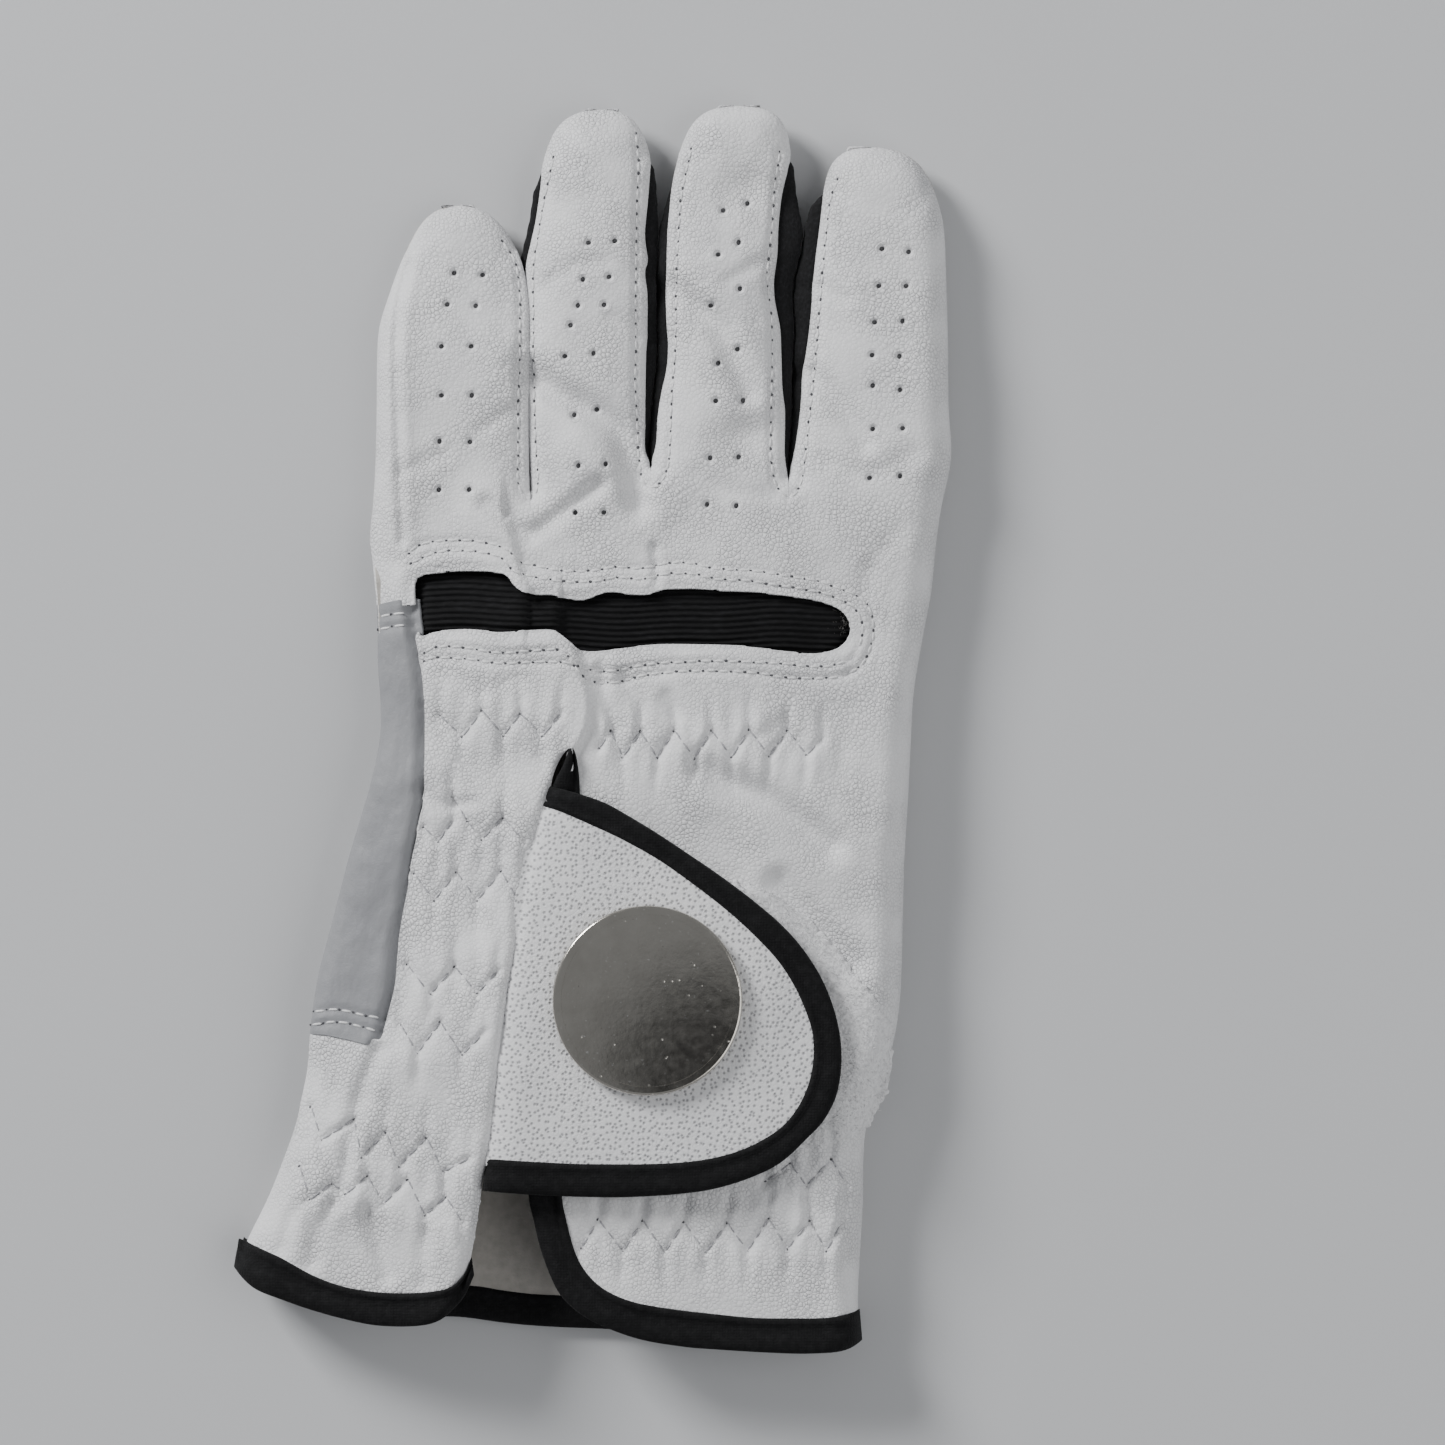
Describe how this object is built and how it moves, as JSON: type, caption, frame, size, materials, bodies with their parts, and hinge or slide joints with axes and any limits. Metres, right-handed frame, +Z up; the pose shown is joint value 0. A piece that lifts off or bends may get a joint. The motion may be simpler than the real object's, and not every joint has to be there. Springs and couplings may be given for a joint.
{
  "type": "golf glove",
  "caption": "Golf glove lying palm down with its thumb folded under, with a hook-and-loop closure tab over the open wrist slit and a metal ball marker on the tab.",
  "frame": {"origin": "centre of the whole glove's box in X and Y, on the table it lies on", "axes": "+X towards the little finger, +Y towards the fingertips, +Z up out of the back of the hand"},
  "size_m": [0.1158, 0.2012, 0.018],
  "materials": {
    "white_leather": "pebbled synthetic leather",
    "palm_leather": "smooth thin leather",
    "grey_leather": "smooth grey leather",
    "tab_leather": "micro-perforated synthetic leather",
    "black_knit": "stretch knit",
    "black_tape": "folded binding tape",
    "ribbed_elastic": "ribbed elastic",
    "elastic_tape": "woven elastic",
    "black_lining": "bonded lining",
    "white_loop": "brushed loop pile",
    "hook_plastic": "moulded hooks",
    "nickel": "scratched nickel",
    "magnet_steel": "plated"
  },
  "bodies": {
    "hand": {"palm_leather": "palm_leather", "back_leather": "white_leather", "side_patch": "grey_leather", "knuckle_elastic": "ribbed_elastic", "back_elastic": "elastic_tape", "strip_elastics": "elastic_tape", "cuff_elastic_left": "elastic_tape", "cuff_elastic_right": "elastic_tape", "slit_binding": "black_tape", "hem_binding_left": "black_tape", "hem_binding_right": "black_tape", "hem_binding_palm": "black_tape", "loop_patch": "white_loop"},
    "index_finger": {"index_back": "white_leather", "index_front": "palm_leather", "index_gusset": "black_knit"},
    "middle_finger": {"middle_back": "white_leather", "middle_front": "palm_leather", "middle_gusset_left": "black_knit", "middle_gusset_right": "black_knit"},
    "ring_finger": {"ring_back": "white_leather", "ring_front": "palm_leather", "ring_gusset_left": "black_knit", "ring_gusset_right": "black_knit"},
    "little_finger": {"little_back": "white_leather", "little_front": "palm_leather", "little_gusset": "black_knit"},
    "thumb": {"thumb_back": "palm_leather", "thumb_front": "palm_leather"},
    "tab": {"tab_leather": "tab_leather", "tab_lining": "black_lining", "tab_binding": "black_tape", "hook_pad": "hook_plastic", "marker_seat": "magnet_steel"},
    "marker": {"ball_marker": "nickel"}
  },
  "joints": [
    {"name": "index_bend", "type": "hinge", "parent": "hand", "child": "index_finger", "pos_m": [-0.023, 0.04027, 0.009], "axis": [1, 0, 0], "range_deg": [0, 50]},
    {"name": "middle_bend", "type": "hinge", "parent": "hand", "child": "middle_finger", "pos_m": [-0.0005, 0.04027, 0.009], "axis": [1, 0, 0], "range_deg": [0, 50]},
    {"name": "ring_bend", "type": "hinge", "parent": "hand", "child": "ring_finger", "pos_m": [0.0205, 0.04027, 0.009], "axis": [1, 0, 0], "range_deg": [0, 50]},
    {"name": "little_bend", "type": "hinge", "parent": "hand", "child": "little_finger", "pos_m": [0.0451, 0.04027, 0.009], "axis": [1, 0, 0], "range_deg": [0, 50]},
    {"name": "thumb_swing", "type": "hinge", "parent": "hand", "child": "thumb", "pos_m": [-0.0281, -0.03373, 0.0029], "axis": [0, 0, 1], "range_deg": [0, 65]},
    {"name": "tab_flap", "type": "hinge", "parent": "hand", "child": "tab", "pos_m": [-0.0124, -0.04243, 0.016], "axis": [-0.1558, -0.9878, 0], "range_deg": [0, 120]},
    {"name": "marker_lift", "type": "slide", "parent": "tab", "child": "marker", "axis": [0, 0, 1], "range_m": [0, 0.01]}
  ]
}
